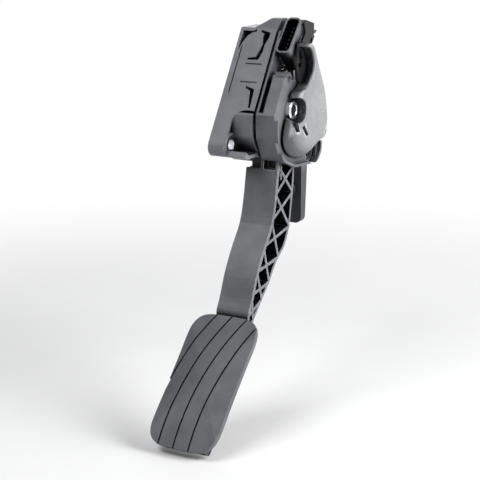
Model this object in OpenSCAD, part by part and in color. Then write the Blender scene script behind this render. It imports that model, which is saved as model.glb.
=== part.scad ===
// Accelerator pedal module: a moulded housing with a hanging pedal arm and a tread.
// X runs along the mounting bolts, away from the mounting face.
// Minus Y is the driver's side and Z is up.
// The origin is the centre of the front mounting bore, on the mounting face.

/* [Mounting] */
// Outer diameter of the steel mounting sleeves
sleeve_d = 14; // [12:0.5:15]
// Bore of the sleeves, for one bolt each
bolt_bore = 8.6; // [6.6:0.1:9.4]
// Plastic around a sleeve
lug_wall = 2; // [1.5:0.25:2.5]
// Length of the front sleeve and its lug
front_lug_w = 14; // [10:0.5:15]
// Length of the rear sleeve and its tube
rear_lug_w = 45; // [40:0.5:46]
// Rear bore, measured back from the front bore
rear_y = 65.6; // [65:0.2:67]
// Rear bore, measured down from the front bore
rear_drop = 12.7; // [12:0.1:13.5]

/* [Pivot] */
// Pivot, measured back from the front bore
pivot_y = 28; // [27.5:0.1:28.5]
// Pivot height above the front bore
pivot_z = 25; // [24.5:0.1:25.5]
// Length of the pivot tube from the mounting face
pivot_len = 49; // [48.5:0.1:50]
// Radius of the arm's hub
hub_r = 15; // [13:0.5:15.5]
// Wall of the two pivot bushes
bush_wall = 1.6; // [1.2:0.1:2]
// Length of each bush inside the hub
bush_len = 10; // [7:0.5:12]
// Rim of each bush, beside the hub
bush_flange_t = 1; // [0.8:0.1:1.2]
// Running gap between the pivot tube and a bush, on the radius
bush_gap = 0.05; // [0.02:0.01:0.09]

/* [Housing] */
// Width of the housing from the mounting face
housing_w = 30.5; // [30:0.25:31]
// Thickness of the mounting flange
flange_t = 2.5; // [2:0.1:3]
// Wall of the housing
wall = 2.4; // [2:0.1:2.8]
// Slope of the front face, from level
front_slope = 57.7; // [56.5:0.1:58.5]
// Height of the top ridge
top_z = 90; // [88:0.5:92]
// Height of the top over the mounting flange
shoulder_z = 83; // [81:0.5:84]
// Radius of the curved wall round the hub
drum_r = 33; // [32.5:0.1:33.5]
// Width of the stop leg
leg_w = 22; // [14:0.5:24]
// Thickness of the stop leg
leg_t = 7; // [6:0.5:9]
// Lowest point of the stop leg
leg_bottom = -70; // [-74:0.5:-66]

/* [Side shell] */
// Gap between the housing and the side shell
joint_gap = 2.2; // [1.5:0.1:2.4]
// Outer face of the side shell
shell_face = 48; // [47.8:0.1:48.5]
// Wall of the side shell
shell_wall = 2; // [1.6:0.1:2.2]
// How far the curved wall stands proud of the outer face
lip_w = 3; // [1:0.5:4]

/* [Sensor] */
// Depth of the sensor body beyond the side shell
tray_depth = 7.4; // [6.5:0.1:7.4]
// Outer face of the cover
cover_face = 58; // [56:0.5:60]
// Wall of the cover
cover_wall = 1.8; // [1.4:0.1:2.2]
// Outer width of the connector
socket_w = 12.4; // [11.5:0.1:12.4]
// Outer length of the connector mouth
socket_l = 32; // [30:0.5:33]
// Wall of the connector
socket_wall = 1.3; // [1:0.1:1.6]
// Depth of the connector
socket_depth = 17; // [12:0.5:18]
// Number of contacts
pin_count = 6; // [2:1:8]

/* [Arm] */
// Width of the arm
arm_w = 27; // [22:0.5:28]
// Front plate of the arm
arm_plate = 2.6; // [2:0.1:3.2]
// Ribs of the arm
rib_t = 2.2; // [1.6:0.1:3]
// Web in the middle of the arm
web_t = 2.4; // [1.8:0.1:3.2]
// Travel of the pedal, in degrees
swing = 13; // [8:0.5:13]

/* [Tread] */
// Half width of the tread
tread_half = 28.5; // [26:0.5:29]
// Length of the tread
tread_len = 106; // [98:1:108]
// Thickness of the tread at its middle
tread_t = 6.5; // [6:0.25:8]
// Crown of the tread along its length
tread_crown = 3.5; // [2:0.25:4.5]
// Crown of the tread across its width
side_crown = 2.5; // [1:0.25:3]
// Width of a groove
groove_w = 1.3; // [0.8:0.1:2.2]
// Depth of a groove
groove_depth = 1.5; // [1:0.1:2]
// Spacing of the grooves
groove_pitch = 12.6; // [11:0.2:13]
// Number of grooves
groove_count = 4; // [1:1:4]

/* [Springs] */
// Outer diameter of the outer spring
spring_d = 14.4; // [12:0.2:14.6]
// Wire of the outer spring
spring_wire = 1.8; // [1.2:0.1:2]
// Turns of the outer spring
spring_turns = 7; // [5:0.5:8]
// Length of the springs at rest
spring_len = 34; // [30:0.5:35]
// Outer diameter of the inner spring
inner_spring_d = 9; // [8:0.2:9.2]
// Wire of the inner spring
inner_wire = 1.2; // [0.8:0.1:1.4]
// Turns of the inner spring
inner_turns = 9; // [7:0.5:11]

/* [Hidden] */
$fn = 64;
gap = 0.3;
skin = 0.01;

// Side outlines are lists of [y, z, corner radius], counter-clockwise
function flat(p) = [p[0], p[1]];
function unit(v) = v / norm(v);
function left_of(v) = [-v[1], v[0]];
function cross2(a, b) = a[0] * b[1] - a[1] * b[0];
function next_of(list, i) = list[(i + 1) % len(list)];
function before(list, i) = list[(i + len(list) - 1) % len(list)];

// Points along the arc that rounds corner b between a and c
function rounded_corner(a, b, c, r_wanted) =
    let (u = unit(a - b), v = unit(c - b), half = acos(u * v) / 2,
         room = 0.48 * min(norm(a - b), norm(c - b)) * tan(half), r = min(r_wanted, room))
    r <= 0 || half > 89 ? [b] :
    let (centre = b + unit(u + v) * r / sin(half),
         from = b + u * r / tan(half) - centre,
         to = b + v * r / tan(half) - centre,
         start = atan2(from[1], from[0]),
         turn = sign(cross2(from, to)) * (180 - 2 * half),
         steps = max(2, ceil(abs(turn) / 14)))
    [for (i = [0 : steps]) centre + r * [cos(start + turn * i / steps), sin(start + turn * i / steps)]];

function rounded(list) =
    [for (i = [0 : len(list) - 1])
        each rounded_corner(flat(before(list, i)), flat(list[i]), flat(next_of(list, i)), list[i][2])];

// The same outline, d smaller all round
function inset_point(a, b, c, d) =
    let (n = left_of(unit(b - a)), m = left_of(unit(c - b)))
    b + (n + m) * d / (1 + n * m);
function inset(list, d) =
    [for (i = [0 : len(list) - 1])
        let (a = flat(before(list, i)), b = flat(list[i]), c = flat(next_of(list, i)),
             p = inset_point(a, b, c, d), grow = cross2(b - a, c - b) > 0 ? -d : d)
        [p[0], p[1], max(0.4, list[i][2] + grow)]];

// A smooth curve through a list of points
function curve_point(a, b, c, d, t) =
    0.5 * (2 * b + (c - a) * t + (2 * a - 5 * b + 4 * c - d) * t * t
           + (3 * b - a - 3 * c + d) * t * t * t);
function curve(list, steps = 4) =
    let (last = len(list) - 1)
    concat([for (i = [0 : last - 1]) for (k = [0 : steps - 1])
                curve_point(list[max(i - 1, 0)], list[i], list[i + 1], list[min(i + 2, last)], k / steps)],
           [list[last]]);

// A line of points moved d to its left
function shifted(list, d) =
    let (last = len(list) - 1)
    [for (i = [0 : last])
        i == 0 ? list[0] + left_of(unit(list[1] - list[0])) * d :
        i == last ? list[last] + left_of(unit(list[last] - list[last - 1])) * d :
        inset_point(list[i - 1], list[i], list[i + 1], d)];
function reversed(list) = [for (i = [len(list) - 1 : -1 : 0]) list[i]];
function band(list, t) = concat(list, reversed(shifted(list, t)));

// Children drawn in the side view, extruded from x to x
module along_x(from, to) {
    translate([from, 0, 0])
        rotate([90, 0, 90])
            linear_extrude(to - from)
                children();
}

module disc_at(y, z, r) {
    translate([y, z])
        circle(r = r);
}

module bar(a, b, t) {
    d = b - a;
    translate(a)
        rotate(atan2(d[1], d[0]))
            translate([0, -t / 2])
                square([norm(d), t]);
}

// Places drawn on the sloping front face: x, then up the slope, then outwards
module on_front() {
    translate([0, front_foot[0], front_foot[1]])
        rotate([front_slope, 0, 0])
            children();
}

function up_front(u) = front_foot + u * [cos(front_slope), sin(front_slope)];

// Driving places
sleeve_r = sleeve_d / 2;
lug_r = sleeve_r + lug_wall;
rear_z = -rear_drop;
front_out = [-sin(front_slope), cos(front_slope)];
front_foot = front_out * lug_r;
arm_x0 = 31.5 - arm_w / 2;
arm_x1 = arm_x0 + arm_w;
arm_mid = (arm_x0 + arm_x1) / 2;
arm_room = 1.2;
hub_x0 = arm_x0;
hub_x1 = shell_face - shell_wall - 0.4 - bush_flange_t;
shell_x0 = housing_w + joint_gap;
shell_inner = shell_face - shell_wall;
front_low = up_front(-lug_r * (1 + cos(front_slope)) / sin(front_slope) );
front_shoulder = up_front((shoulder_z - front_foot[1]) / sin(front_slope));
ridge_y = 50;
drum_y = 36;
drum_z = 16;

rear_line = [[72, -22, 10], [79.5, -14, 10], [79.5, 10, 25], [76, 31, 30]];
housing_outline = concat(
    [[front_low[0], front_low[1], lug_r], [12, -9, 2], [30, -17.5, 6]],
    rear_line,
    [[69.5, 57, 14], [66, 82, 3], [58, top_z, 2], [ridge_y, top_z, 1.5],
     [front_shoulder[0], front_shoulder[1], 1.5]]);
shell_top = up_front(54);
shell_foot = up_front(22);
strip_t = 1.6;
strip_top = 92;
front_slot_w = 3.9;
shell_outline = concat(
    [[shell_foot[0], shell_foot[1], 0], [4.6, 6, 12], [14, -12, 14], [34, -19.5, 10]],
    rear_line,
    [[67, 46, 4], [50, 43.5, 2], [37, 45.5, 2], [shell_top[0], shell_top[1], 1.5]]);
function behind_front(u, depth) = up_front(u) - front_out * depth;

// Space in which the arm swings, below the hub
arm_slot = [[16, -30], [16, -9], [22, 0], [57, -2], [60.5, -24], [60.5, -30]];

module wall_ring(list, t) {
    difference() {
        polygon(rounded(list));
        polygon(rounded(inset(list, t)));
    }
}

module drum_band(r, t) {
    intersection() {
        difference() {
            disc_at(drum_y, drum_z, r);
            disc_at(drum_y, drum_z, r - t);
        }
        translate([drum_y - r - 1, -22])
            square([r - 6, 46]);
    }
}

// Screws that hold the side shell to the housing
shell_screw_places = [[28, 49], [71, 31], [9.5, 13], [72.5, 4]];
shell_screw_r = 2;
shell_head_r = 3.4;
shell_head_t = 2;
boss_r = 4;

// The springs stand between the arm's lever and a shelf in the housing
spring_y = 57.5;
spring_x = 23.5;
seat_z = 20;
seat_t = 3;
spring_foot = seat_z + seat_t;
spring_top = spring_foot + spring_len;
cap_t = 2.5;
shelf_z = spring_top + cap_t;

// Rubber stop in front of the arm
idle_x0 = 21;
idle_x1 = 30;
idle_z0 = -5;
idle_z1 = 3;
idle_seat_y = 14;

// Stop leg behind the arm, with its rubber stop
leg_front = 61;
stop_z = -43;
stop_r = 6;
stop_stem_r = 2.5;
arm_touch = [43, -43];
function swung(p, a) =
    [pivot_y + (p[0] - pivot_y) * cos(a) - (p[1] - pivot_z) * sin(a),
     pivot_z + (p[0] - pivot_y) * sin(a) + (p[1] - pivot_z) * cos(a)];
stop_face_y = swung(arm_touch, swing)[0] + 1;

leg_x0 = arm_mid - leg_w / 2;
leg_x1 = arm_mid + leg_w / 2;

module stop_leg() {
    intersection() {
        along_x(leg_x0, leg_x1)
            polygon(rounded([[leg_front, -12, 0], [leg_front, leg_bottom - 1, 0],
                             [leg_front + leg_t, leg_bottom - 1, 3], [leg_front + leg_t + 3, -24, 6],
                             [leg_front + leg_t + 7, -12, 0]]));
        across(leg_front - 5, leg_front + leg_t + 15)
            polygon(rounded([[leg_x0, -10, 0], [leg_x0, leg_bottom, 5], [leg_x1, leg_bottom, 5],
                             [leg_x1, -10, 0]]));
    }
}

module front_cut(depth) {
    on_front()
        translate([0, 0, -depth])
            linear_extrude(depth + 6)
                children();
}

module front_panel_cuts() {
    through = 8;
    front_cut(through)
        polygon([[0.9, 69], [2.6, 73], [4.6, 80], [7.4, 85.5], [10.5, 88.2], [14, 89.4], [14, 106], [0.9, 106]]);
    front_cut(0.9)
        polygon([[4.4, 38], [5.4, 38], [5.4, 78], [4.4, 76]]);
    front_cut(through)
        polygon([[17.8, 91], [26, 89], [25.8, 84.5], [23.8, 79], [23.8, 73], [21.8, 66.2],
                 [12.4, 65.8], [12.4, 67.3], [18.8, 68.4], [20.8, 74], [22, 79], [20.6, 84.5],
                 [20.8, 88], [17.9, 89.2]]);
    for (u = [62, 47])
        front_cut(0.8)
            translate([12, u])
                square([14, 1.2]);
    front_cut(through)
        polygon([[18, 44.4], [25.6, 42.2], [26.2, 27], [24.6, 27], [22.4, 40.8], [18, 42.6]]);
    arch_r = 11;
    arch_x = 13.6;
    front_cut(6) {
        translate([arch_x + arch_r, -22])
            square([40, 47]);
        translate([arch_x, -22])
            square([arch_r + skin, 47 - arch_r]);
        translate([arch_x + arch_r, 25 - arch_r])
            circle(r = arch_r);
    }
}

// Stepped rings round the front lug, between it and the curved wall
ring_step = 2.6;

module lug_rings() {
    for (k = [1 : 2])
        along_x(flange_t - skin, front_lug_w - ring_step * k)
            intersection() {
                polygon(rounded(inset(housing_outline, skin)));
                disc_at(0, 0, lug_r + ring_step * k);
            }
}

// The roof steps down towards the mounting flange
roof_foot_x = 11.5;
roof_slope_x = 22;
roof_profile = [[0, shoulder_z], [roof_foot_x, shoulder_z], [roof_slope_x, top_z], [housing_w, top_z]];

module across(from, to) {
    translate([0, to, 0])
        rotate([90, 0, 0])
            linear_extrude(to - from)
                children();
}

module housing_roof() {
    across(38, 63)
        polygon(concat([for (p = roof_profile) [p[0], p[1] - wall]],
                       [[housing_w, top_z + 1], [0, top_z + 1]]));
}

module above_roof() {
    across(30, 90)
        polygon(concat([[-1, shoulder_z]], [for (i = [1 : 2]) roof_profile[i]],
                       [[roof_slope_x, top_z + 9], [-1, top_z + 9]]));
}

module housing() {
    color("#3d3f42")
        difference() {
            union() {
                along_x(0, flange_t)
                    polygon(rounded(housing_outline));
                difference() {
                    along_x(flange_t - skin, housing_w)
                        wall_ring(housing_outline, wall);
                    front_panel_cuts();
                    along_x(arm_x0 - arm_room, housing_w + 1)
                        polygon(arm_slot);
                }
                intersection() {
                    along_x(0, housing_w)
                        polygon(rounded(housing_outline));
                    housing_roof();
                }
                along_x(0, front_lug_w)
                    disc_at(0, 0, lug_r);
                lug_rings();
                along_x(0, rear_lug_w)
                    disc_at(rear_y, rear_z, lug_r);
                along_x(0, arm_x0 - arm_room - bush_flange_t)
                    disc_at(pivot_y, pivot_z, sleeve_r + 3);
                difference() {
                    along_x(0, housing_w)
                        intersection() {
                            drum_band(drum_r, wall);
                            polygon(rounded(housing_outline));
                        }
                    along_x(arm_x0 - arm_room, housing_w + 1)
                        polygon(arm_slot);
                }
                along_x(idle_x0, idle_x1)
                    intersection() {
                        disc_at(drum_y, drum_z, drum_r - skin);
                        translate([4, idle_z0])
                            square([idle_seat_y - 4, idle_z1 - idle_z0]);
                    }
                for (p = shell_screw_places)
                    along_x(0, housing_w)
                        disc_at(p[0], p[1], boss_r);
                along_x(flange_t - skin, housing_w)
                    intersection() {
                        polygon(rounded(housing_outline));
                        translate([44, shelf_z])
                            square([24, wall]);
                    }
                along_x(housing_w - wall, housing_w)
                    intersection() {
                        polygon(rounded(housing_outline));
                        translate([0, shelf_z])
                            square([90, 40]);
                    }
                stop_leg();
            }
            above_roof();
            along_x(-1, front_lug_w + 3)
                disc_at(0, 0, sleeve_r);
            along_x(-1, rear_lug_w + 1)
                disc_at(rear_y, rear_z, sleeve_r);
            along_x(-1, housing_w + 1)
                disc_at(pivot_y, pivot_z, sleeve_r);
            for (p = shell_screw_places)
                along_x(housing_w - 16, housing_w + 1)
                    disc_at(p[0], p[1], shell_screw_r);
            translate([arm_mid, leg_front - 1, stop_z])
                rotate([-90, 0, 0])
                    cylinder(r = stop_stem_r, h = leg_t + 12);
        }
}

module side_shell() {
    color("#4a4c4f")
        difference() {
            union() {
                difference() {
                    along_x(shell_x0, shell_face)
                        polygon(rounded(shell_outline));
                    along_x(shell_x0 - 1, shell_inner)
                        polygon(rounded(inset(shell_outline, shell_wall)));
                }
                difference() {
                    along_x(shell_face - skin, shell_face + lip_w)
                        wall_ring(shell_outline, shell_wall);
                    translate([shell_face - 1, 6, -6])
                        cube([lip_w + 2, 90, 90]);
                    translate([shell_face - 1, -10, 20])
                        cube([lip_w + 2, 90, 90]);
                }
                for (p = shell_screw_places)
                    along_x(shell_x0, shell_face)
                        disc_at(p[0], p[1], boss_r);
                along_x(shell_x0, shell_x0 + strip_t)
                    difference() {
                        polygon(rounded([concat(up_front(24), 0), concat(behind_front(26, 5), 0),
                                         concat(behind_front(54, 10), 3),
                                         concat(behind_front(strip_top, 8), 1), concat(up_front(strip_top), 2)]));
                        disc_at(pivot_y, pivot_z, hub_r + 1);
                    }
            }
            along_x(shell_x0 - 1, arm_x1 + arm_room - 0.2)
                polygon(arm_slot);
            along_x(shell_x0 - 1, leg_x1 + gap)
                translate([leg_front - 2, -30])
                    square([leg_t + 10, 18]);
            along_x(shell_x0 - 1, shell_face + 6)
                disc_at(rear_y, rear_z, lug_r + gap);
            along_x(shell_x0 - 1, shell_face + 1)
                disc_at(pivot_y, pivot_z, sleeve_r);
            for (p = shell_screw_places) {
                along_x(shell_x0 - 1, shell_face + 1)
                    disc_at(p[0], p[1], shell_screw_r + 0.2);
                along_x(shell_face - shell_head_t, shell_face + 1)
                    disc_at(p[0], p[1], shell_head_r + 0.2);
            }
            sensor_screw_holes(shell_face - sensor_screw_bite - 0.1, shell_face + 1);
            on_front()
                translate([shell_x0 + strip_t - skin, 24, -4.5])
                    cube([front_slot_w, 60, 9.5]);
        }
}

// Screws that hold the board and the sensor body to the side shell
sensor_screw_places = [[48.5, 13.2], [64, 8.4], [62.2, 30.5]];
sensor_screw_r = 1.2;
sensor_screw_bite = 1.5;

module sensor_screw_holes(from, to) {
    for (p = sensor_screw_places)
        along_x(from, to)
            disc_at(p[0], p[1], sensor_screw_r + 0.05);
}

// Sensor body with its connector, on the outer face of the side shell
tray_face = shell_face + tray_depth;
tray_plate_x = shell_face + 2;
cover_x0 = tray_plate_x;
notch_r = sleeve_r + 2.4;

// Edge of the cover as two chains of points, from below the pivot to the tip beside the connector:
// first round the front, foot and rear, then past the pivot. Each has a foot and a face.
foot_outer = [[17, 14], [14.5, 7], [15.5, 0], [21, -6.5], [30, -11], [41, -13.5], [50, -12], [56.5, -6.5],
              [64.5, -2.6], [73, -3.5], [76.6, 3], [76.8, 13], [75, 25], [70.5, 38], [62, 53], [53.5, 69],
              [49.5, 73.5], [40, 73.5]];
face_outer = [[34.5, 13.5], [36, 11], [39, 8], [43, 5.2], [47.5, 3.2], [52, 1.4], [56, 0], [60.5, -0.8],
              [65.5, -0.8], [70.5, 0.5], [73, 5.5], [73.4, 14], [71.6, 25], [67.2, 38], [58.8, 53], [50.8, 68],
              [48.3, 71.2], [43, 72.4]];
foot_inner = [[17, 14], [22, 25], [27, 37], [34, 39.5], [43.5, 46], [50, 54], [49.5, 62], [45, 69], [39.5, 71]];
face_inner = [[34.5, 13.5], [35.6, 25], [37, 38.5], [40, 40.5], [46.5, 45.5], [52, 54], [51.5, 62.5],
              [47.2, 69.4], [42.8, 71.2]];
edge_steps = 32;

// Share of the way from one list of points to the other
function between(from, to, t) = [for (i = [0 : len(from) - 1]) from[i] * (1 - t) + to[i] * t];

// The same line with its corners spread evenly along it
function spaced(line, steps) =
    let (run = [for (i = 0, sum = 0; i < len(line); i = i + 1,
                     sum = sum + (i < len(line) ? norm(line[i] - line[i - 1]) : 0)) sum],
         whole = run[len(line) - 1])
    [for (k = [0 : steps])
        let (at = whole * k / steps, i = max([for (q = [0 : len(line) - 2]) run[q] <= at ? q : 0]),
             t = min(1, (at - run[i]) / (run[i + 1] - run[i])))
        line[i] * (1 - t) + line[i + 1] * t];

function outer_edge(t) = spaced(curve(between(foot_outer, face_outer, t), 3), edge_steps);
function inner_edge(t) = spaced(curve(between(foot_inner, face_inner, t), 3), edge_steps);
function cover_edge(t) = concat(outer_edge(t), reversed([for (i = [1 : edge_steps]) inner_edge(t)[i]]));
well_outline = [[38.4, 16.2, 3], [40, 11.5, 3], [48, 6.4, 8], [57, 3.4, 8], [66, 2.6, 6], [69.6, 7, 5],
                [70.2, 15, 20], [67, 32, 25], [63.8, 39, 25], [57, 50, 8], [50, 44.6, 6], [41.6, 38.8, 3],
                [40.3, 35.6, 3]];
link_outline = [[46, 40, 2], [66, 36, 4], [70, 40, 4], [61, 54, 10], [50, 73, 2.5], [40, 73, 2], [36, 58, 3],
                [38, 46, 3]];

socket_mid = [40.3, 79.2];
socket_slope = 48.7;
socket_x = 40.6;
socket_in = [sin(socket_slope), -cos(socket_slope)];
socket_along = [cos(socket_slope), sin(socket_slope)];
function at_mouth(l, d) = socket_mid + socket_along * l + socket_in * d;
tube_x0 = socket_x - socket_w / 2;
tube_x1 = socket_x + socket_w / 2;

module at_socket() {
    translate([socket_x, socket_mid[0], socket_mid[1]])
        rotate([socket_slope, 0, 0])
            children();
}

module slot_shape(w, l, r) {
    square([w, l - 2 * r], center = true);
    square([w - 2 * r, l], center = true);
    for (sx = [-1, 1], sy = [-1, 1])
        translate([sx * (w / 2 - r), sy * (l / 2 - r)])
            circle(r = r);
}

pin_w = 0.9;
pin_pitch = 3.6;
pin_floor = 2;
function pin_place(i) = (i - (pin_count - 1) / 2) * pin_pitch;
strip_end = [55, 38];
function strip_foot(i) = strip_end + [(i - (pin_count - 1) / 2) * 2.4, 0];

module socket_block() {
    socket_corner = 4.4;
    back = socket_depth + pin_floor + 4;
    at_socket()
        translate([0, 0, -back])
            linear_extrude(back)
                slot_shape(socket_w, socket_l, socket_corner);
    top = at_mouth(socket_l / 2 - 1, 1.5);
    along_x(tube_x0 + 1.5, shell_face + 1)
        polygon([at_mouth(socket_l / 2 - 3, 2), at_mouth(0, back), at_mouth(socket_l / 2, back - 2),
                 [67, 80], [67, 86], [top[0] + 2, top[1]]]);
    along_x(tube_x1 - 3, shell_face + 1)
        polygon([at_mouth(-socket_l / 2 + 4, 9), at_mouth(-socket_l / 2 + 4, back),
                 at_mouth(socket_l / 2, back), at_mouth(socket_l / 2 - 4, 9)]);
}

module sensor_body() {
    color("#5b5d60")
        difference() {
            union() {
                along_x(shell_face, tray_plate_x)
                    polygon(cover_edge(0.12));
                along_x(shell_face, tray_plate_x)
                    polygon(rounded(link_outline));
                along_x(shell_face, tray_face)
                    wall_ring(well_outline, 2);
                socket_block();
            }
            along_x(shell_face - 1, tray_face + 1)
                disc_at(pivot_y, pivot_z, notch_r);
            along_x(shell_face - 1, tray_plate_x + 1)
                polygon(rounded([[39.3, 55.4, 1.5], [44.8, 55, 1.5], [46.2, 58, 1], [46, 62, 2], [42.5, 69, 1.5],
                                 [41, 69, 1], [38.8, 60, 2]]));
            along_x(tube_x0 - 1, shell_face + gap)
                disc_at(shell_screw_places[0][0], shell_screw_places[0][1], boss_r + gap);
            at_socket()
                translate([0, 0, -socket_depth])
                    linear_extrude(socket_depth + 1)
                        slot_shape(socket_w - 2 * socket_wall, socket_l - 2 * socket_wall, 3.1);
            at_socket()
                translate([-2, -12, -socket_depth - pin_floor - 3])
                    cube([shell_face + 1 - socket_x + 2, 24, 3]);
            for (i = [0 : pin_count - 1])
                at_socket()
                    translate([-pin_w / 2, pin_place(i) - pin_w / 2, -socket_depth - pin_floor - 1])
                        cube([pin_w, pin_w, pin_floor + 2]);
            along_x(shell_face - 1, shell_face + 1.2)
                polygon([at_mouth(11, socket_depth + pin_floor + 1), at_mouth(-11, socket_depth + pin_floor + 1),
                         [47.5, 44], [47.5, 37], [62.5, 37], at_mouth(11, socket_depth + pin_floor + 2.5)]);
            along_x(shell_face - 1, tray_face)
                translate([47.5, 36.5])
                    square([15, 3]);
            sensor_screw_holes(shell_face - 1, tray_face);
        }
}

module terminals() {
    color("goldenrod")
        for (i = [0 : pin_count - 1]) {
            bend = at_mouth(pin_place(i), socket_depth + pin_floor + 1.5);
            at_socket()
                translate([-pin_w / 2, pin_place(i) - pin_w / 2, -socket_depth - pin_floor - 2])
                    cube([pin_w, pin_w, socket_depth + pin_floor - 2]);
            along_x(socket_x, shell_face + 0.8)
                translate(bend)
                    rotate(socket_slope)
                        square([pin_w, pin_w], center = true);
            along_x(shell_face + 0.1, shell_face + 0.8)
                bar(bend, strip_foot(i), pin_w);
            along_x(shell_face + 0.1, board_x1 + 0.6)
                translate(strip_foot(i))
                    square([pin_w, pin_w], center = true);
        }
}

board_x0 = tray_plate_x + 0.8;
board_t = 1.2;
board_x1 = board_x0 + board_t;

module circuit_board() {
    color("darkgreen")
        difference() {
            along_x(board_x0, board_x1)
                polygon(rounded(inset(well_outline, 2.4)));
            for (i = [0 : pin_count - 1])
                along_x(board_x0 - 1, board_x1 + 1)
                    translate(strip_foot(i))
                        square([pin_w, pin_w], center = true);
            sensor_screw_holes(board_x0 - 1, board_x1 + 1);
        }
}

module board_chips() {
    color("#1b1b1d") {
        along_x(board_x1, board_x1 + 1.2)
            translate([52, 10])
                square([9, 7]);
        along_x(board_x1, board_x1 + 1.2)
            translate([51, 22])
                square([7, 9]);
    }
}

// The cover is a shallow dome, open towards the sensor body
cover_levels = [0, 0.25, 0.5, 0.7, 0.86, 0.96, 1];

module sensor_cover() {
    color("#8f9193")
        difference() {
            crescent([for (h = cover_levels)
                [for (p = cover_edge(1 - sqrt(1 - pow(h, 1.6))))
                    [cover_x0 + (cover_face - cover_x0) * h, p[0], p[1]]]]);
            along_x(cover_x0 - 1, cover_face - cover_wall)
                polygon(rounded(inset(well_outline, -0.4)));
            along_x(cover_x0 - 1, cover_face + 1)
                disc_at(pivot_y, pivot_z, notch_r);
            along_x(cover_x0 - 1, cover_face - cover_wall)
                polygon([[38, 42], [46, 43], [53.5, 50.5], [54, 56], [53, 62], [48, 69.5], [43, 69.8], [38, 60]]);
        }
}

// Solid through equal outlines whose two sides meet in their first point, closed by strips across
module crescent(sections) {
    n = len(sections[0]);
    last = len(sections) - 1;
    pairs = (n - 1) / 2;
    polyhedron(
        points = [for (s = sections) each s],
        faces = concat(
            [for (i = [0 : pairs - 1]) each cross_strip(i, n, 0, false)],
            [for (k = [0 : last - 1]) for (i = [0 : n - 1])
                let (j = (i + 1) % n)
                each [[k * n + j, k * n + i, (k + 1) * n + j], [(k + 1) * n + j, k * n + i, (k + 1) * n + i]]],
            [for (i = [0 : pairs - 1]) each cross_strip(i, n, last * n, true)]));
}

function cross_strip(i, n, base, up) =
    let (a = base + i, b = base + i + 1, c = base + n - 1 - i, d = base + (n - i) % n)
    [for (f = i == 0 ? [[a, b, c]] : [[a, b, c], [a, c, d]]) up ? reversed(f) : f];

module cover_seal() {
    color("black")
        along_x(tray_face, cover_face - cover_wall - skin)
            difference() {
                polygon(rounded(inset(well_outline, 0.4)));
                polygon(rounded(inset(well_outline, 1.6)));
            }
}

// Pivot tube and its bushes
bush_r = sleeve_r + bush_gap + bush_wall;

module pivot_tube() {
    color("silver")
        difference() {
            along_x(0, pivot_len)
                disc_at(pivot_y, pivot_z, sleeve_r);
            along_x(-1, pivot_len + 1)
                disc_at(pivot_y, pivot_z, bolt_bore / 2);
        }
}

module bush(from, side) {
    flange_from = side < 0 ? from - bush_flange_t : from + bush_len;
    difference() {
        union() {
            along_x(from, from + bush_len)
                disc_at(pivot_y, pivot_z, bush_r);
            along_x(flange_from, flange_from + bush_flange_t)
                disc_at(pivot_y, pivot_z, bush_r + 2);
        }
        along_x(from - 3, from + bush_len + 3)
            disc_at(pivot_y, pivot_z, sleeve_r + bush_gap);
    }
}

module bush_left() {
    color("ivory")
        bush(hub_x0, -1);
}

module bush_right() {
    color("ivory")
        bush(hub_x1 - bush_len, 1);
}

// Mounting sleeves
module mount_sleeve(y, z, length) {
    difference() {
        along_x(0, length)
            disc_at(y, z, sleeve_r);
        along_x(-1, length + 1)
            disc_at(y, z, bolt_bore / 2);
    }
}

module sleeve_front() {
    color("silver")
        mount_sleeve(0, 0, front_lug_w + 0.3);
}

module sleeve_rear() {
    color("silver")
        mount_sleeve(rear_y, rear_z, rear_lug_w + 0.3);
}

// The tread leans back from its top edge to its lower edge
tread_top = [-36, -127];
tread_end = [-105, -197];
crown_top = 5;
tread_back = tread_t - crown_top;
tread_down = unit(tread_end - tread_top);
tread_out = left_of(tread_down) * -1;
function on_tread(s, n) = tread_top + tread_down * s + tread_out * n;
foot_t = 2.6;
foot_half = 20;
foot_depth = 12;

// The arm, drawn in the side view at rest
arm_front = curve([[18, 4], [17.5, -12], [16.5, -20], [12, -43], [6.5, -60], [-4, -74], [-11, -84],
                   [-18, -96], [-24, -110], [-29, -119], on_tread(-5, -tread_back - 1),
                   on_tread(5, -tread_back - 1)], 3);
arm_back = curve([[43, 4], [44.5, -12], [45.2, -28], arm_touch, [38.5, -66], [30.5, -80.5],
                  [17.5, -90], [5, -104.5], [-6, -114.5], [-17, -125], on_tread(4, 1 - foot_depth)], 3);
rib_front = [[18, -15], [15.5, -38], [9, -57], [-3.5, -74], [-14, -91], [-22, -107], [-33, -124]];
rib_back = [[44.5, -20], [43, -41], [38, -67], [20, -87.5], [5, -103.5], [-6.5, -114], [-20, -129]];

module foot() {
    foot_end = tread_len - 6;
    foot_list = [concat(on_tread(1, -tread_back), 0), concat(on_tread(1, -foot_depth), 2),
                 concat(on_tread(60, -foot_depth - 1), 20), concat(on_tread(foot_end, -foot_depth + 2), 2),
                 concat(on_tread(foot_end, -tread_back), 0)];
    difference() {
        along_x(arm_mid - foot_half, arm_mid + foot_half)
            polygon(rounded(foot_list));
        for (s = [-1, 1])
            translate([s * (foot_half + rib_t) / 2, 0, 0])
                along_x(arm_mid - (foot_half - rib_t * 2) / 2, arm_mid + (foot_half - rib_t * 2) / 2)
                    polygon([on_tread(4, -foot_t - tread_back), on_tread(3, -foot_depth - 8),
                             on_tread(foot_end - foot_t, -foot_depth - 8),
                             on_tread(foot_end - foot_t, -foot_t - tread_back)]);
    }
    for (k = [1 : 4]) {
        at = k * tread_len / 5;
        along_x(arm_mid - foot_half + 1, arm_mid + foot_half - 1)
            polygon([on_tread(at, -tread_back - 1), on_tread(at, -foot_depth + 1),
                     on_tread(at + rib_t, -foot_depth + 1), on_tread(at + rib_t, -tread_back - 1)]);
    }
}

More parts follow.
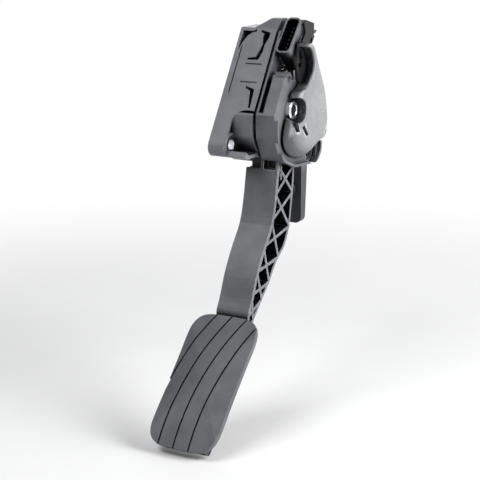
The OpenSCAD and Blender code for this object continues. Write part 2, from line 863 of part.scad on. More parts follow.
lever_x0 = 18;
lever_x1 = 29;

// The sensor target is a sector of a ring on the end of the hub
target_r = hub_r + 4;
target_t = 1.2;
target_seat_t = 2;

module target_sector(inner_r) {
    difference() {
        disc_at(pivot_y, pivot_z, target_r);
        disc_at(pivot_y, pivot_z, inner_r);
        translate([pivot_y - 60, pivot_z - 40])
            square([60, 80]);
        translate([pivot_y - 10, pivot_z - 90])
            square([60, 84]);
    }
}

// Lower end of the open neck above the front plate of the arm
neck_end = -19.5;

module pedal_arm() {
    color("#2f3134")
        difference() {
            union() {
                along_x(arm_x0, arm_x1)
                    polygon(band(arm_front, arm_plate));
                along_x(arm_x0 + 1, arm_x1 - 1)
                    polygon(band(reversed(arm_back), arm_plate - 0.4));
                along_x(arm_mid - web_t / 2, arm_mid + web_t / 2)
                    polygon(concat(arm_front, reversed(arm_back)));
                intersection() {
                    along_x(arm_x0 + 0.8, arm_x1 - 0.8)
                        polygon(concat(arm_front, reversed(arm_back)));
                    along_x(arm_x0 + 0.8, arm_x1 - 0.8)
                        for (i = [0 : len(rib_front) - 2]) {
                            bar(rib_front[i], rib_back[i + 1], rib_t);
                            bar(rib_back[i], rib_front[i + 1], rib_t);
                        }
                }
                along_x(arm_x0 + 1, arm_x1 - 1)
                    polygon([[23.8, -1], [25.6, -1], [24.8, -28], [23, -28]]);
                along_x(hub_x0, hub_x1)
                    disc_at(pivot_y, pivot_z, hub_r);
                along_x(hub_x0, hub_x1)
                    polygon([[pivot_y - hub_r + 2, pivot_z - 6], [18, 0], [43.5, 0], [pivot_y + hub_r - 2, pivot_z - 6]]);
                along_x(hub_x1 - target_t - target_seat_t, hub_x1 - target_t)
                    target_sector(hub_r - 1);
                along_x(lever_x0, lever_x1)
                    polygon(rounded([[pivot_y, 9, 0], [52, 10, 3], [65, 13.5, 2], [65.5, seat_z, 1],
                                     [47, seat_z, 3], [pivot_y, seat_z + 12, 0]]));
                foot();
            }
            for (x = [arm_x0 - 1, arm_mid + web_t / 2])
                along_x(x, x + arm_w / 2 + 1 - web_t / 2 - (x > arm_x0 ? 3 : 0))
                    polygon([[12, -3], [24, -3], [24, neck_end], [12, neck_end]]);
            along_x(hub_x0 - 1, hub_x1 + 1)
                disc_at(pivot_y, pivot_z, bush_r);
        }
}

// Half outline of the tread, as shares of its half width and hundredths of its length
tread_side = [[0.2, -5.3], [0.5, -4.9], [0.72, -3.2], [0.87, 0.8], [0.945, 7], [0.97, 15], [0.96, 28],
              [0.955, 45], [0.955, 60], [0.965, 75], [0.945, 85], [0.86, 91.5], [0.68, 95.5], [0.35, 97]];

module tread_plan() {
    side = [for (p = tread_side) [p[0] * tread_half, p[1] * tread_len / 100]];
    polygon(concat(curve(side, 3), reversed([for (p = curve(side, 3)) [-p[0], p[1]]])));
}

module on_pad() {
    translate([arm_mid, tread_top[0], tread_top[1]])
        rotate([atan2(tread_down[1], tread_down[0]), 0, 0])
            children();
}

tread_mid = 0.46 * tread_len;

// Space under a doubly crowned face, d below the tread's own face
module under_crown(d) {
    bow = (tread_len * tread_len / 4 + tread_crown * tread_crown) / (2 * tread_crown);
    side_bow = (tread_half * tread_half + side_crown * side_crown) / (2 * side_crown);
    intersection() {
        translate([-50, tread_mid, bow - crown_top + d])
            rotate([0, 90, 0])
                cylinder(r = bow, h = 100, $fn = 360);
        translate([0, -20, side_bow - crown_top + d])
            rotate([-90, 0, 0])
                cylinder(r = side_bow, h = tread_len + 40, $fn = 240);
    }
}

module pedal_tread() {
    groove_r = 256;
    groove_mid = 91;
    first = -30.2;
    color("#2a2c2e")
        on_pad()
            difference() {
                intersection() {
                    translate([0, 0, -crown_top])
                        linear_extrude(tread_t)
                            tread_plan();
                    under_crown(0);
                }
                difference() {
                    for (k = [0 : groove_count - 1])
                        translate([first + k * groove_pitch + groove_r, groove_mid, -crown_top - 2])
                            difference() {
                                cylinder(r = groove_r, h = 10, $fn = 360);
                                translate([0, 0, -1])
                                    cylinder(r = groove_r - groove_w, h = 12, $fn = 360);
                            }
                    under_crown(groove_depth);
                }
            }
}

// Springs
module loft(sections) {
    n = len(sections[0]);
    last = len(sections) - 1;
    polyhedron(
        points = [for (s = sections) each s],
        faces = concat(
            [[for (i = [0 : n - 1]) i]],
            [for (k = [0 : last - 1]) for (i = [0 : n - 1])
                let (j = (i + 1) % n)
                each [[k * n + j, k * n + i, (k + 1) * n + j], [(k + 1) * n + j, k * n + i, (k + 1) * n + i]]],
            [[for (i = [n - 1 : -1 : 0]) last * n + i]]));
}

module coil(d, wire, turns, foot, length, steps) {
    r = (d - wire) / 2;
    sides = 8;
    rise = length - wire;
    count = ceil(turns * steps);
    function centre(i) =
        let (t = i / count, lead = min(1, max(0, (t * turns - 0.75) / (turns - 1.5))))
        [r * cos(360 * t * turns), r * sin(360 * t * turns), foot + wire / 2 + rise * lead];
    function ring(i) =
        let (a = 360 * i * turns / count)
        [for (k = [0 : sides - 1])
            let (b = 360 * k / sides, q = wire / 2 * cos(b))
            centre(i) + [q * cos(a), q * sin(a), wire / 2 * sin(b)]];
    translate([spring_x, spring_y, 0])
        loft([for (i = [count : -1 : 0]) ring(i)]);
}

module spring_outer() {
    color("dimgray")
        coil(spring_d, spring_wire, spring_turns, spring_foot, spring_len, 20);
}

module spring_inner() {
    color("gray")
        coil(inner_spring_d, inner_wire, inner_turns, spring_foot, spring_len, 16);
}

seat_r = 7.4;
spigot_r = inner_spring_d / 2 - inner_wire - 0.4;

module spring_seat() {
    color("ivory")
        translate([spring_x, spring_y, seat_z]) {
            cylinder(r = seat_r, h = seat_t);
            cylinder(r = spigot_r, h = seat_t + 4);
        }
}

module spring_cap() {
    color("ivory")
        translate([spring_x, spring_y, spring_top]) {
            cylinder(r = seat_r, h = cap_t);
            translate([0, 0, -4])
                cylinder(r = spigot_r, h = 5);
        }
}

module sensor_target() {
    color("peru")
        along_x(hub_x1 - target_t, hub_x1)
            target_sector(hub_r);
}

module shell_screws() {
    color("silver")
        for (p = shell_screw_places) {
            along_x(housing_w - 13, shell_face - shell_head_t)
                disc_at(p[0], p[1], shell_screw_r);
            difference() {
                along_x(shell_face - shell_head_t, shell_face)
                    disc_at(p[0], p[1], shell_head_r);
                along_x(shell_face - 1.2, shell_face + 1)
                    translate(p)
                        circle(r = 1.5, $fn = 6);
            }
        }
}

module sensor_screws() {
    color("silver")
        for (p = sensor_screw_places) {
            along_x(board_x1, board_x1 + 1.2)
                disc_at(p[0], p[1], 2.4);
            along_x(shell_face - sensor_screw_bite, board_x1 + skin)
                disc_at(p[0], p[1], sensor_screw_r);
        }
}

module travel_stop() {
    color("#151515")
        translate([arm_mid, 0, stop_z])
            rotate([-90, 0, 0]) {
                translate([0, 0, stop_face_y])
                    cylinder(r = stop_r, h = leg_front - stop_face_y);
                translate([0, 0, leg_front - 1])
                    cylinder(r = stop_stem_r, h = leg_t + 5.4);
                translate([0, 0, leg_front + leg_t + 3.4])
                    cylinder(r1 = stop_stem_r + 1, r2 = stop_stem_r - 0.6, h = 4);
            }
}

module idle_stop() {
    color("#151515")
        along_x(idle_x0, idle_x1)
            polygon(rounded([[idle_seat_y, idle_z0, 0], [idle_seat_y + 3.5, idle_z0, 1.2],
                             [idle_seat_y + 3.6, idle_z1, 1.2], [idle_seat_y, idle_z1, 0]]));
}

housing();
side_shell();
sensor_body();
sensor_cover();
cover_seal();
terminals();
circuit_board();
board_chips();
sensor_target();
pivot_tube();
bush_left();
bush_right();
pedal_arm();
pedal_tread();
spring_outer();
spring_inner();
spring_seat();
spring_cap();
sleeve_front();
sleeve_rear();
shell_screws();
sensor_screws();
travel_stop();
idle_stop();
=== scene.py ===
import bpy
import bmesh
import math
from mathutils import Matrix, Vector


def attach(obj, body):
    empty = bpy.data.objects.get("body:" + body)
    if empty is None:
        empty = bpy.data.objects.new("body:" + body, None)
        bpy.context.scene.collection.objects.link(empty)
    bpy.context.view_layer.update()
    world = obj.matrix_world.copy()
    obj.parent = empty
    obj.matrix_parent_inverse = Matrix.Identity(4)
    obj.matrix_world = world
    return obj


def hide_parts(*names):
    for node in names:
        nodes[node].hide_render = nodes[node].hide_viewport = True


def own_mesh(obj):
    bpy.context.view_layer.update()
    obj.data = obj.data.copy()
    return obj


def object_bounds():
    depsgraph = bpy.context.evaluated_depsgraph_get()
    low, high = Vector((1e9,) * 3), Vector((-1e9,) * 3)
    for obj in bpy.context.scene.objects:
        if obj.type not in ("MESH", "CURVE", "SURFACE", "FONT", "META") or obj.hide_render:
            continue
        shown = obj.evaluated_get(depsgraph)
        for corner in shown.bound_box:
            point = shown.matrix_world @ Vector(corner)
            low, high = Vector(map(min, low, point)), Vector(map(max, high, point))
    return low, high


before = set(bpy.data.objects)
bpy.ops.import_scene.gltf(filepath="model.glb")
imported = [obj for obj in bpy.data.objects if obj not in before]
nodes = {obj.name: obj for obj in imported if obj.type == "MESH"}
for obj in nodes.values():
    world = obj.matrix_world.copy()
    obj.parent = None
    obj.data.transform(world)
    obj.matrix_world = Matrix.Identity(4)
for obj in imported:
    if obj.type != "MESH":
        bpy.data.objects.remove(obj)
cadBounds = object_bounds()
scene = bpy.context.scene

MM = 0.001


class Graph:
    def __init__(self, name):
        self.mat = bpy.data.materials.new(name)
        self.mat.use_nodes = True
        self.tree = self.mat.node_tree
        self.shader = self.tree.nodes["Principled BSDF"]
        self.where = self.add("ShaderNodeTexCoord").outputs["Object"]
        self.bump = None

    def add(self, kind, **values):
        node = self.tree.nodes.new(kind)
        for key, value in values.items():
            if hasattr(node, key):
                setattr(node, key, value)
            else:
                node.inputs[key.replace("_", " ")].default_value = value
        return node

    def link(self, a, b):
        self.tree.links.new(a, b)

    def stretched(self, scale):
        mapping = self.add("ShaderNodeMapping", Scale=scale)
        self.link(self.where, mapping.inputs["Vector"])
        return mapping.outputs["Vector"]

    def noise(self, scale, detail=3.0, rough=0.55, where=None):
        node = self.add("ShaderNodeTexNoise", Scale=scale, Detail=detail, Roughness=rough)
        self.link(where or self.where, node.inputs["Vector"])
        return node.outputs["Fac"]

    def cells(self, scale, feature="F1"):
        node = self.add("ShaderNodeTexVoronoi", Scale=scale, feature=feature)
        self.link(self.where, node.inputs["Vector"])
        return node.outputs["Distance"]

    def remap(self, value, lo, hi, fromLo=0.3, fromHi=0.7):
        node = self.add("ShaderNodeMapRange", From_Min=fromLo, From_Max=fromHi, To_Min=lo, To_Max=hi)
        self.link(value, node.inputs["Value"])
        return node.outputs["Result"]

    def mix(self, fac, a, b, kind="MIX"):
        node = self.add("ShaderNodeMix", data_type="RGBA", blend_type=kind)
        for socket, value in ((node.inputs[6], a), (node.inputs[7], b)):
            if isinstance(value, tuple):
                socket.default_value = (*value, 1)
            else:
                self.link(value, socket)
        if isinstance(fac, float):
            node.inputs[0].default_value = fac
        else:
            self.link(fac, node.inputs[0])
        return node.outputs[2]

    def math(self, kind, a, b=0.0):
        node = self.add("ShaderNodeMath", operation=kind)
        for socket, value in zip(node.inputs, (a, b)):
            if isinstance(value, (int, float)):
                socket.default_value = value
            else:
                self.link(value, socket)
        return node.outputs[0]

    def paint(self, colour):
        self.link(colour, self.shader.inputs["Base Color"])

    def raiseBy(self, height, strength, distance):
        node = self.add("ShaderNodeBump", Strength=strength, Distance=distance)
        self.link(height, node.inputs["Height"])
        if self.bump:
            self.link(self.bump, node.inputs["Normal"])
        self.bump = node.outputs["Normal"]
        self.link(self.bump, self.shader.inputs["Normal"])

    # mask that is 1 along outer and inner edges
    def edges(self, radius):
        soft = self.add("ShaderNodeBevel", samples=4, Radius=radius)
        true = self.add("ShaderNodeNewGeometry")
        dot = self.add("ShaderNodeVectorMath", operation="DOT_PRODUCT")
        self.link(soft.outputs[0], dot.inputs[0])
        self.link(true.outputs["True Normal"], dot.inputs[1])
        self.bump = soft.outputs[0]
        return self.remap(dot.outputs["Value"], 1, 0, 0.8, 0.99)

    # 0 in narrow corners and pockets, 1 on open faces
    def openness(self, distance):
        node = self.add("ShaderNodeAmbientOcclusion", samples=6, Distance=distance)
        return node.outputs["AO"]


def shade(c, k):
    return tuple(min(1, x * k) for x in c)


# moulded plastic: mottled colour, fine spark-eroded grain, lighter edges (part rubbed wear, part painted highlight),
# painted shade in pockets
def plastic(name, rgb, rough=0.42, spread=0.12, grain=1500, depth=0.3, vary=0.18, rubAndHighlight=1.5, pocket=0.008,
            edge=0.0006, shadow=0.06, closedAt=0.4, openAt=0.9, gloss=0.22, flankShade=None,
            low=None, shadeBandX=None):
    g = Graph(name)
    corner = g.edges(edge)
    base = g.mix(g.remap(g.noise(38, 4), 0, 1, 0.35, 0.65), shade(rgb, 1 - vary), shade(rgb, 1 + vary))
    # painted shade: the colour darkens toward the shadow tone in corners and pockets, found by ambient occlusion
    if pocket:
        pocketShadeFactor = g.remap(g.openness(pocket), 0, 1, closedAt, openAt)
        base = g.mix(pocketShadeFactor, shade(rgb, shadow), base)
    # lighter edges, part rubbed wear and part painted highlight
    edgeWearAndHighlight = g.math("MULTIPLY", corner, g.remap(g.noise(260, 5, 0.65), 0.3, 1, 0.4, 0.6))
    base = g.mix(edgeWearAndHighlight, base, shade(rgb, rubAndHighlight))
    split = g.add("ShaderNodeSeparateXYZ")
    g.link(g.where, split.inputs[0])
    # painted shade: the colour turns darker below the heights given in low
    if low:
        base = g.mix(g.remap(split.outputs["Z"], 0, 1, *low), g.mix(0.8, base, shade(rgb, 0.12)), base)
    # painted shade: a band across X turns nearly black
    if shadeBandX:
        depthIn = g.remap(split.outputs["X"], 0, 1, *shadeBandX[:2])
        depthOut = g.remap(split.outputs["X"], 1, 0, *shadeBandX[2:])
        base = g.mix(g.math("MULTIPLY", depthIn, depthOut), base, shade(rgb, 0.06))
    # painted shade: the cover's flank, at lower X, turns darker than its face
    if flankShade:
        base = g.mix(g.remap(split.outputs["X"], 0, 1, *flankShade), g.mix(0.85, base, shade(rgb, 0.16)), base)
    g.paint(base)
    g.link(g.remap(g.noise(140, 5, 0.6), rough - spread / 2, rough + spread / 2), g.shader.inputs["Roughness"])
    g.raiseBy(g.cells(grain), depth, 0.00006)
    g.raiseBy(g.noise(22, 2), 0.1, 0.0015)
    g.shader.inputs["Specular IOR Level"].default_value = gloss
    return g.mat


def metal(name, rgb, rough=0.28, stretch=(1, 60, 60), depth=0.2):
    g = Graph(name)
    brushed = g.noise(160, 4, 0.6, g.stretched(stretch))
    g.paint(g.mix(g.remap(brushed, 0, 1), shade(rgb, 0.82), shade(rgb, 1.08)))
    g.link(g.remap(g.noise(90, 4), rough - 0.08, rough + 0.1), g.shader.inputs["Roughness"])
    g.raiseBy(brushed, depth, 0.00002)
    g.shader.inputs["Metallic"].default_value = 1
    return g.mat


def rubber(name, rgb, rough=0.75):
    g = Graph(name)
    g.paint(g.mix(g.remap(g.noise(70, 5), 0, 1), shade(rgb, 0.75), shade(rgb, 1.35)))
    g.link(g.remap(g.noise(300, 3), rough - 0.08, rough + 0.1), g.shader.inputs["Roughness"])
    g.raiseBy(g.cells(2400), 0.5, 0.0001)
    return g.mat


def circuit(name):
    g = Graph(name)
    tracks = g.add("ShaderNodeTexBrick", Scale=260, Mortar_Size=0.03)
    g.link(g.where, tracks.inputs["Vector"])
    g.paint(g.mix(tracks.outputs["Fac"], (0.01, 0.06, 0.02), (0.02, 0.13, 0.045)))
    g.shader.inputs["Roughness"].default_value = 0.3
    g.raiseBy(tracks.outputs["Fac"], 0.3, 0.00005)
    return g.mat


# the housing's lowest part, the leg, gets painted shade
housingMat = plastic("housingPlastic", (0.15, 0.153, 0.165), 0.36, grain=1700, rubAndHighlight=2, pocket=0.014,
                     low=(-0.03, -0.018))
shellMat = plastic("shellPlastic", (0.105, 0.108, 0.117), 0.36, grain=1500, rubAndHighlight=2.2, pocket=0.014)
# the sensor body gets strong painted shade in its pockets and a near-black painted shade band across X around its
# pocket floor
bodyMat = plastic("sensorPlastic", (0.16, 0.163, 0.17), 0.32, grain=1900, rubAndHighlight=2.6, pocket=0.03, shadow=0.03,
                  closedAt=0.7, openAt=1.0, shadeBandX=(0.0472, 0.0478, 0.0504, 0.0512))
# the cover's flank gets painted shade and its edges a painted highlight
coverMat = plastic("coverPlastic", (0.19, 0.194, 0.2), 0.28, grain=1300, vary=0.1, rubAndHighlight=3.2, pocket=0.016,
                   shadow=0.03, closedAt=0.5, openAt=0.95, gloss=0.4, flankShade=(0.0545, 0.0579))
# the arm's rib edges get a strong painted highlight
armMat = plastic("armPlastic", (0.125, 0.128, 0.135), 0.38, grain=1500, rubAndHighlight=5.5, pocket=0.018, edge=0.0009,
                 shadow=0.03, closedAt=0.62, openAt=0.98)
treadMat = plastic("treadRubber", (0.1, 0.102, 0.112), 0.46, grain=1100, depth=0.45, rubAndHighlight=1.6, pocket=0.003,
                   shadow=0.03)
steelMat = metal("sleeveSteel", (0.86, 0.87, 0.89), 0.16)
springMat = metal("springSteel", (0.2, 0.2, 0.21), 0.34, (60, 60, 4))
screwMat = metal("screwBlackZinc", (0.16, 0.16, 0.165), 0.38, (40, 40, 40))
targetMat = metal("targetCopper", (0.7, 0.38, 0.2), 0.3, (30, 4, 4))
pinMat = metal("pinTin", (0.045, 0.04, 0.032), 0.5, (4, 60, 60))
bushMat = plastic("bushAcetal", (0.6, 0.58, 0.5), 0.38, grain=2600, vary=0.06, rubAndHighlight=1.1)
sealMat = rubber("sealRubber", (0.02, 0.02, 0.022))
stopMat = rubber("stopRubber", (0.022, 0.022, 0.024))
chipMat = plastic("chipResin", (0.015, 0.015, 0.017), 0.5, grain=3000, pocket=0)
clipMat = plastic("clipPlastic", (0.03, 0.03, 0.032), 0.45, grain=2200, pocket=0)
boardMat = circuit("boardLaminate")

nodeMats = {
    "housing": housingMat, "side_shell": shellMat, "sensor_body": bodyMat, "sensor_cover": coverMat,
    "cover_seal": sealMat, "terminals": pinMat, "circuit_board": boardMat, "board_chips": chipMat,
    "sensor_target": targetMat, "pivot_tube": steelMat, "bush_left": bushMat, "bush_right": bushMat,
    "pedal_arm": armMat, "pedal_tread": treadMat, "spring_outer": springMat, "spring_inner": springMat,
    "spring_seat": bushMat, "spring_cap": bushMat, "sleeve_front": steelMat, "sleeve_rear": steelMat,
    "shell_screws": screwMat, "sensor_screws": screwMat, "travel_stop": stopMat, "idle_stop": stopMat}
for name, mat in nodeMats.items():
    mesh = nodes[name].data
    mesh.materials.clear()
    mesh.materials.append(mat)
print("materials done")


view = {
    "lens": 103.9,
    "sensor": 36,
    "nearest": 0.05,
    "farthest": 50,
    "stands": (0.51303, -0.88624, 0.18979),
    "looks": (0.025474, -0.006663, -0.070288),
}


def makeCamera():
    data = bpy.data.cameras.new("camera")
    data.lens = view["lens"]
    data.sensor_width = view["sensor"]
    data.clip_start = view["nearest"]
    data.clip_end = view["farthest"]
    cam = bpy.data.objects.new("camera", data)
    scene.collection.objects.link(cam)
    cam.location = view["stands"]
    cam.rotation_mode = "QUATERNION"
    cam.rotation_quaternion = (Vector(view["looks"]) - cam.location).to_track_quat("-Z", "Y")
    scene.camera = cam


lights = {
    "key": {"stands": (0.95, 0.1, 0.25), "size": (0.6, 0.9), "watts": 17},
    "front": {"stands": (-0.25, -0.6, 0.75), "size": (0.6, 0.5), "watts": 6},
    "rim": {"stands": (-0.5, 0.8, 0.3), "size": (0.8, 0.8), "watts": 2.5},
}
lightsAim = (0.03, 0.0, -0.04)


def areaLight(name, lamp):
    data = bpy.data.lights.new(name, "AREA")
    data.shape = "RECTANGLE"
    data.size, data.size_y = lamp["size"]
    data.energy = lamp["watts"]
    light = bpy.data.objects.new(name, data)
    scene.collection.objects.link(light)
    light.location = lamp["stands"]
    light.rotation_mode = "QUATERNION"
    light.rotation_quaternion = (Vector(lightsAim) - light.location).to_track_quat("-Z", "Y")


# 1 for rays from the camera and for reflections, so that metal shows the pale studio too
def seenRays(tree):
    path = tree.nodes.new("ShaderNodeLightPath")
    last = path.outputs["Is Camera Ray"]
    for name in ("Is Glossy Ray", "Is Transmission Ray"):
        both = tree.nodes.new("ShaderNodeMath")
        both.operation = "MAXIMUM"
        tree.links.new(last, both.inputs[0])
        tree.links.new(path.outputs[name], both.inputs[1])
        last = both.outputs[0]
    return last


stage = {
    "below": 0.002,
    "reach": 6,
    "fadeFrom": 0.25,
    "fadeTo": 0.8,
    "softLight": 0.12,
}


def makeStage():
    lowest = cadBounds[0].z - stage["below"]
    mesh = bpy.data.meshes.new("floor")
    r = stage["reach"]
    mesh.from_pydata([(-r, -r, lowest), (r, -r, lowest), (r, r, lowest), (-r, r, lowest)], [], [(0, 1, 2, 3)])
    floor = bpy.data.objects.new("floor", mesh)
    scene.collection.objects.link(floor)
    g = Graph("floorPaper")
    g.paint(g.mix(g.remap(g.noise(6, 3), 0, 1), (0.86, 0.86, 0.86), (0.9, 0.9, 0.9)))
    g.shader.inputs["Roughness"].default_value = 0.9
    # fades to the white backdrop away from the object, seen by the camera only
    reach = g.add("ShaderNodeVectorMath", operation="LENGTH")
    g.link(g.where, reach.inputs[0])
    fade = g.add("ShaderNodeMapRange", From_Min=stage["fadeFrom"], From_Max=stage["fadeTo"],
                 interpolation_type="SMOOTHSTEP")
    g.link(reach.outputs["Value"], fade.inputs["Value"])
    both = g.math("MULTIPLY", fade.outputs["Result"], seenRays(g.tree))
    glow = g.add("ShaderNodeEmission", Strength=1.0)
    mixed = g.add("ShaderNodeMixShader")
    g.link(both, mixed.inputs[0])
    g.link(g.shader.outputs[0], mixed.inputs[1])
    g.link(glow.outputs[0], mixed.inputs[2])
    g.link(mixed.outputs[0], g.tree.nodes["Material Output"].inputs["Surface"])
    mesh.materials.append(g.mat)
    world = bpy.data.worlds.new("world")
    scene.world = world
    world.use_nodes = True
    tree = world.node_tree
    soft = tree.nodes["Background"]
    soft.inputs["Color"].default_value = (0.92, 0.95, 1, 1)
    soft.inputs["Strength"].default_value = stage["softLight"]
    white = tree.nodes.new("ShaderNodeBackground")
    white.inputs["Color"].default_value = (1, 1, 1, 1)
    white.inputs["Strength"].default_value = 1.0
    mix = tree.nodes.new("ShaderNodeMixShader")
    tree.links.new(seenRays(tree), mix.inputs[0])
    tree.links.new(soft.outputs[0], mix.inputs[1])
    tree.links.new(white.outputs[0], mix.inputs[2])
    tree.links.new(mix.outputs[0], tree.nodes["World Output"].inputs["Surface"])
    scene.view_settings.view_transform = "Standard"
    print("stage done")


def slotGroup(name, inputs):
    tree = bpy.data.node_groups.new(name, "GeometryNodeTree")
    for label, kind, value in inputs:
        item = tree.interface.new_socket(label, in_out="INPUT", socket_type=kind)
        if value is not None:
            item.default_value = value
    tree.interface.new_socket("Geometry", in_out="OUTPUT", socket_type="NodeSocketGeometry")
    return tree


def bakeTree(name, tree, values, mat):
    mesh = bpy.data.meshes.new(name + "Base")
    ob = bpy.data.objects.new(name, mesh)
    scene.collection.objects.link(ob)
    mod = ob.modifiers.new("made", "NODES")
    mod.node_group = tree
    for item in tree.interface.items_tree:
        if item.in_out == "INPUT" and item.name in values:
            mod[item.identifier] = values[item.name]
    done = ob.evaluated_get(bpy.context.evaluated_depsgraph_get())
    made = bpy.data.meshes.new_from_object(done)
    made.name = name
    ob.modifiers.remove(mod)
    ob.data = made
    bpy.data.meshes.remove(mesh)
    if not made.materials:
        made.materials.append(mat)
    return ob


springSeat = {
    "foot": (23.5, 57.5, 23.0),
    "length": 34.0,
    "fixedEnd": (0.0235, 0.0575, 0.057),
    "keep": 0.76,
    "closedTurns": 0.75,  # flat turns at each end
    "wireSides": 14,
}
springs = {
    "outerSpring": {"Across": 14.4, "Wire": 1.8, "Turns": 7.0, "replaces": "spring_outer", "steps": 40},
    "innerSpring": {"Across": 9.0, "Wire": 1.2, "Turns": 9.0, "replaces": "spring_inner", "steps": 36},
}


# wound wire with closed end turns, along a path made from its own factor
def coilTree(mat):
    tree = slotGroup("coilTree", (
        ("Across", "NodeSocketFloat", 14.4), ("Wire", "NodeSocketFloat", 1.8), ("Turns", "NodeSocketFloat", 7.0),
        ("Length", "NodeSocketFloat", 34.0), ("Steps", "NodeSocketInt", 240)))
    new, link = tree.nodes.new, tree.links.new

    def calc(kind, a, b=None, c=None):
        node = new("ShaderNodeMath")
        node.operation = kind
        for socket, value in zip(node.inputs, (a, b, c)):
            if value is None:
                continue
            if isinstance(value, (int, float)):
                socket.default_value = value
            else:
                link(value, socket)
        return node.outputs[0]

    given = new("NodeGroupInput").outputs
    line = new("GeometryNodeCurvePrimitiveLine")
    fine = new("GeometryNodeResampleCurve")
    link(line.outputs[0], fine.inputs["Curve"])
    link(given["Steps"], fine.inputs["Count"])
    along = new("GeometryNodeSplineParameter").outputs["Factor"]
    turned = calc("MULTIPLY", along, given["Turns"])
    angle = calc("MULTIPLY", turned, 2 * math.pi)
    radius = calc("MULTIPLY", calc("SUBTRACT", given["Across"], given["Wire"]), 0.5)
    flat = springSeat["closedTurns"]
    lead = calc("DIVIDE", calc("SUBTRACT", turned, flat), calc("SUBTRACT", given["Turns"], 2 * flat))
    lead = calc("MINIMUM", calc("MAXIMUM", lead, 0.0), 1.0)
    lift = calc("MULTIPLY", lead, calc("SUBTRACT", given["Length"], given["Wire"]))
    spot = new("ShaderNodeCombineXYZ")
    link(calc("MULTIPLY", radius, calc("COSINE", angle)), spot.inputs[0])
    link(calc("MULTIPLY", radius, calc("SINE", angle)), spot.inputs[1])
    link(calc("ADD", lift, calc("MULTIPLY", given["Wire"], 0.5)), spot.inputs[2])
    put = new("GeometryNodeSetPosition")
    link(fine.outputs[0], put.inputs["Geometry"])
    link(spot.outputs[0], put.inputs["Position"])
    ring = new("GeometryNodeCurvePrimitiveCircle")
    ring.inputs["Resolution"].default_value = springSeat["wireSides"]
    link(calc("MULTIPLY", given["Wire"], 0.5), ring.inputs["Radius"])
    sweep = new("GeometryNodeCurveToMesh")
    sweep.inputs["Fill Caps"].default_value = True
    link(put.outputs[0], sweep.inputs["Curve"])
    link(ring.outputs[0], sweep.inputs["Profile Curve"])
    real = new("GeometryNodeRealizeInstances")
    link(sweep.outputs[0], real.inputs[0])
    paint = new("GeometryNodeSetMaterial")
    paint.inputs["Material"].default_value = mat
    link(real.outputs[0], paint.inputs["Geometry"])
    link(paint.outputs[0], new("NodeGroupOutput").inputs[0])
    return tree


def place(ob, move):
    ob.data.transform(Matrix.Translation(Vector(move) * MM) @ Matrix.Scale(MM, 4))
    ob.data.update()


def makeSprings():
    tree = coilTree(springMat)
    for name, size in springs.items():
        values = {"Across": size["Across"], "Wire": size["Wire"], "Turns": size["Turns"],
                  "Length": springSeat["length"], "Steps": int(size["Turns"] * size["steps"])}
        ob = bakeTree(name, tree, values, springMat)
        for face in ob.data.polygons:
            face.use_smooth = True
        place(ob, springSeat["foot"])
        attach(ob, "base")
        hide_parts(size["replaces"])
        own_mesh(ob)
    print("springs done")


clips = {
    "places": {
        "upperClip": {"at": (47.0, 66.5, 79.6), "turn": 4},
        "lowerClip": {"at": (48.6, 73.6, 37.4), "turn": -12},
    },
    "wide": 1.9,
    "outline": [(-0.6, -0.7), (2.6, -0.7), (2.6, -1.6), (4.2, -0.6), (5.6, 0.1), (4.3, 0.7), (-0.6, 0.7)],
    "bevel": 0.15,
}


# snap clips that stand out behind the sensor body
def makeClips():
    for name, clip in clips["places"].items():
        bm = bmesh.new()
        low = [bm.verts.new((0, y * MM, z * MM)) for y, z in clips["outline"]]
        face = bm.faces.new(low)
        out = bmesh.ops.extrude_face_region(bm, geom=[face])
        bmesh.ops.translate(bm, vec=(clips["wide"] * MM, 0, 0),
                            verts=[v for v in out["geom"] if isinstance(v, bmesh.types.BMVert)])
        bmesh.ops.bevel(bm, geom=bm.edges[:], offset=clips["bevel"] * MM, segments=2, affect="EDGES", profile=0.6)
        bmesh.ops.recalc_face_normals(bm, faces=bm.faces[:])
        turn = Matrix.Rotation(math.radians(clip["turn"]), 4, "X")
        bm.transform(Matrix.Translation(Vector(clip["at"]) * MM) @ turn)
        mesh = bpy.data.meshes.new(name)
        bm.to_mesh(mesh)
        bm.free()
        mesh.materials.append(clipMat)
        ob = bpy.data.objects.new(name, mesh)
        scene.collection.objects.link(ob)
        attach(ob, "base")
    print("clips done")


cover = {
    "outlines": (
        ((21.0, 17.4), (24.0, 9.2), (28.4, 9.0), (26.0, 16.6)),
        ((31.0, 11.9), (34.4, 13.4), (41.6, 5.0), (38.0, 4.4)),
    ),
    "floor": 52.6,
    "slotDepth": 10,
    "creaseAngle": 34,
}


# a merged copy of a solid's mesh, so that it can be shaded smooth
def mergedCopy(node, name):
    bm = bmesh.new()
    bm.from_mesh(nodes[node].data)
    bmesh.ops.remove_doubles(bm, verts=bm.verts[:], dist=0.00001)
    mesh = bpy.data.meshes.new(name)
    bm.to_mesh(mesh)
    bm.free()
    ob = bpy.data.objects.new(name, mesh)
    scene.collection.objects.link(ob)
    return ob


def smoothUnder(mesh, degrees):
    for face in mesh.polygons:
        face.use_smooth = True
    mesh.set_sharp_from_angle(angle=math.radians(degrees))


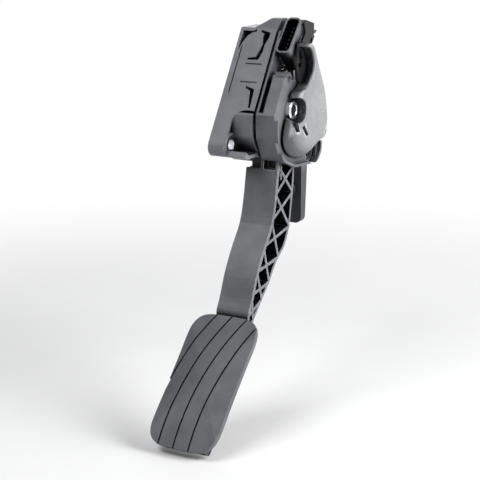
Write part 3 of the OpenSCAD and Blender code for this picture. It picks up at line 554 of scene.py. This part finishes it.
# the cover with its dome shaded smooth and two slots cut in its lower flank
def makeCover():
    ob = mergedCopy("sensor_cover", "smoothCover")
    mesh = ob.data
    bm = bmesh.new()
    for outline in cover["outlines"]:
        face = bm.faces.new([bm.verts.new((cover["floor"] * MM, y * MM, z * MM)) for y, z in outline])
        out = bmesh.ops.extrude_face_region(bm, geom=[face])
        bmesh.ops.translate(bm, vec=(cover["slotDepth"] * MM, 0, 0),
                            verts=[v for v in out["geom"] if isinstance(v, bmesh.types.BMVert)])
    bmesh.ops.recalc_face_normals(bm, faces=bm.faces[:])
    slotMesh = bpy.data.meshes.new("slotCutter")
    bm.to_mesh(slotMesh)
    mesh.materials.append(coverMat)
    # the slot walls take the near-black clip plastic as painted shade inside the slots
    slotMesh.materials.append(clipMat)
    bm.free()
    cutter = bpy.data.objects.new("slotCutter", slotMesh)
    scene.collection.objects.link(cutter)
    cut = ob.modifiers.new("slots", "BOOLEAN")
    cut.object = cutter
    cut.solver = "EXACT"
    cut.material_mode = "TRANSFER"
    made = bpy.data.meshes.new_from_object(ob.evaluated_get(bpy.context.evaluated_depsgraph_get()))
    made.name = "smoothCoverCut"
    ob.modifiers.remove(cut)
    ob.data = made
    for unused in (mesh, slotMesh):
        bpy.data.meshes.remove(unused)
    smoothUnder(made, cover["creaseAngle"])
    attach(ob, "base")
    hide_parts("sensor_cover")
    print("cover done")


pivotCollar = {
    "centre": (28.0, 25.0),
    "profile": ((49.02, 4.3), (51.8, 4.3), (52.3, 4.8), (52.3, 6.4), (51.7, 7.0), (49.02, 7.0)),
    "sides": 64,
    "creaseAngle": 35,
}


# the end of the pivot's sleeve, which stands proud in the notch of the cover
def makeCollar():
    bm = bmesh.new()
    line = [bm.verts.new((x * MM, r * MM, 0)) for x, r in pivotCollar["profile"]]
    edges = [bm.edges.new(pair) for pair in zip(line, line[1:] + line[:1])]
    bmesh.ops.spin(bm, geom=line + edges, cent=(0, 0, 0), axis=(1, 0, 0), angle=2 * math.pi, steps=pivotCollar["sides"])
    bmesh.ops.remove_doubles(bm, verts=bm.verts[:], dist=0.000001)
    bmesh.ops.recalc_face_normals(bm, faces=bm.faces[:])
    y, z = pivotCollar["centre"]
    bm.transform(Matrix.Translation(Vector((0, y, z)) * MM))
    mesh = bpy.data.meshes.new("pivotCollar")
    bm.to_mesh(mesh)
    bm.free()
    smoothUnder(mesh, pivotCollar["creaseAngle"])
    mesh.materials.append(steelMat)
    ob = bpy.data.objects.new("pivotCollar", mesh)
    scene.collection.objects.link(ob)
    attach(ob, "base")
    print("collar done")


makeCamera()
makeStage()
makeSprings()
makeClips()
makeCover()
makeCollar()
for name, lamp in lights.items():
    areaLight(name, lamp)
